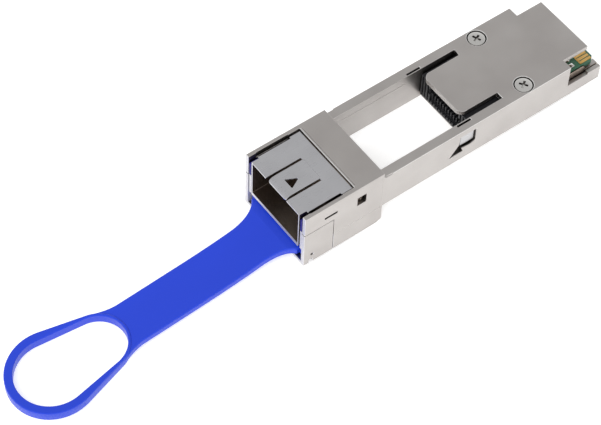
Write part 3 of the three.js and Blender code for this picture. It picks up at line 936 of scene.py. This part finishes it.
def release_slide():
    """The stamped slide, with a steel plate in front of each ear of the pull tab; the plates and the
    slide's front take the paler matt copy, partly painted light.
    """
    plates = ((-17.9, 7.55, -0.6), (-17.22, 8.14, 4.8))
    tails = ((-17.3, 7.45, 3.6), (-15.4, 7.54, 4.8))
    extra = mirrored([plates, tails])
    slide = polished("release_slide", "pull", "slide_steel", STAMPED, STAMPED_EDGE, joins=extra)
    # Painted light: the plates and the slide's front take the paler matt copy.
    repaint(slide, MATT, lambda place, normal: place.x < -15.0)


castings()
cage()
solder_pads()
latch_leaf()
pull_tab()
socket()
release_slide()
polished("circuit_board", "frame", "board", MASK, MOULDED_EDGE)
for row in ("socket_contacts_upper", "socket_contacts_lower", "edge_contacts_top", "edge_contacts_bottom"):
    polished(row, "frame", "contact_gold", GOLD, CONTACT_EDGE)
for side, sign in (("left", 1), ("right", -1)):
    cover_screw(side, sign)
    return_spring(side)
board_chip("controller_chip", "chip_body", CHIP_BLACK)
board_chip("memory_chip", "chip_body", CHIP_BLACK)
end_capped("power_inductor", "ferrite", FERRITE, 0.5, SCREW_PLATE)
for i in range(1, 5):
    end_capped("capacitor_" + str(i), "capacitor_body", CAPACITOR, 0.35, SCREW_PLATE)


# ---- camera: the angle of the original view ----
def place_camera():
    azimuth, elevation, roll = math.radians(-38.40), math.radians(54.21), math.radians(2.32)
    distance, slide_x, slide_y = 395.48 * MM, 9.891 * MM, 12.345 * MM
    level = math.cos(elevation)
    back = Vector((math.sin(azimuth) * level, -math.cos(azimuth) * level, math.sin(elevation)))
    flat_right = (-back).cross(Vector((0, 0, 1))).normalized()
    flat_up = flat_right.cross(-back)
    right = math.cos(roll) * flat_right + math.sin(roll) * flat_up
    up = math.cos(roll) * flat_up - math.sin(roll) * flat_right
    target = Vector((0, 0, PLUG_TOP))
    data = bpy.data.cameras.new("camera")
    data.sensor_width = 36.0
    data.lens = 128.92
    data.clip_start = 10 * MM
    data.clip_end = 20.0
    camera = bpy.data.objects.new("camera", data)
    bpy.context.scene.collection.objects.link(camera)
    turn = Matrix((right, up, back)).transposed().to_4x4()
    place = target + back * distance - right * slide_x - up * slide_y
    camera.matrix_world = Matrix.Translation(place) @ turn
    bpy.context.scene.camera = camera


place_camera()


# ---- floor and light ----
def place_floor():
    """A pale table: the block's rear lower edge and the plug's rear end rest on it."""
    front = Vector((-1.3 * MM, 0, COLLAR_LOW.z))
    rear = Vector((TRAY_HIGH.x, 0, TRAY_LOW.z))
    slope = (rear.z - front.z) / (rear.x - front.x)
    size, clearance = 3.0, 0.02 * MM
    bm = bmesh.new()
    bmesh.ops.create_grid(bm, x_segments=4, y_segments=4, size=size)
    for vert in bm.verts:
        vert.co.z = front.z + slope * (vert.co.x - front.x) - clearance
    floor = object_from("floor", bm)
    s = Shader("floor_paper", Roughness=0.8)
    fibre = s.noise(0.4 * MM)
    tone = s.mix(s.spread(fibre, 0.0, 1.0), (0.86, 0.86, 0.86), (0.9, 0.9, 0.9))
    s.shader.inputs["Emission Color"].default_value = (1.0, 0.995, 0.985, 1.0)
    s.shader.inputs["Emission Strength"].default_value = 0.42
    floor.data.materials.append(s.use(Base_Color=tone))


def light_world():
    """A pale room, brighter towards the walls than overhead."""
    world = bpy.data.worlds.new("studio")
    world.use_nodes = True
    bpy.context.scene.world = world
    tree = world.node_tree
    place = tree.nodes.new("ShaderNodeTexCoord")
    split = tree.nodes.new("ShaderNodeSeparateXYZ")
    ramp = tree.nodes.new("ShaderNodeValToRGB")
    tree.links.new(place.outputs["Generated"], split.inputs[0])
    tree.links.new(split.outputs["Z"], ramp.inputs["Fac"])
    walls, overhead = (0.05, 1.15), (0.75, 0.70)
    for stop, (height, level) in zip(ramp.color_ramp.elements, (walls, overhead)):
        stop.position = height
        stop.color = (level, level, level, 1)
    tree.links.new(ramp.outputs["Color"], tree.nodes["Background"].inputs["Color"])


def soft_light(name, place, size, energy):
    data = bpy.data.lights.new(name, "AREA")
    data.shape = "DISK"
    data.size = size
    data.energy = energy
    light = bpy.data.objects.new(name, data)
    bpy.context.scene.collection.objects.link(light)
    light.location = place
    light.visible_glossy = False
    aim = Vector((0, 0, 0)) - light.location
    light.rotation_mode = "QUATERNION"
    light.rotation_quaternion = aim.to_track_quat("-Z", "Y")


place_floor()
light_world()
soft_light("key", Vector((-0.5, -0.3, 0.7)), 0.6, 5.0)
bpy.context.scene.view_settings.view_transform = "Standard"
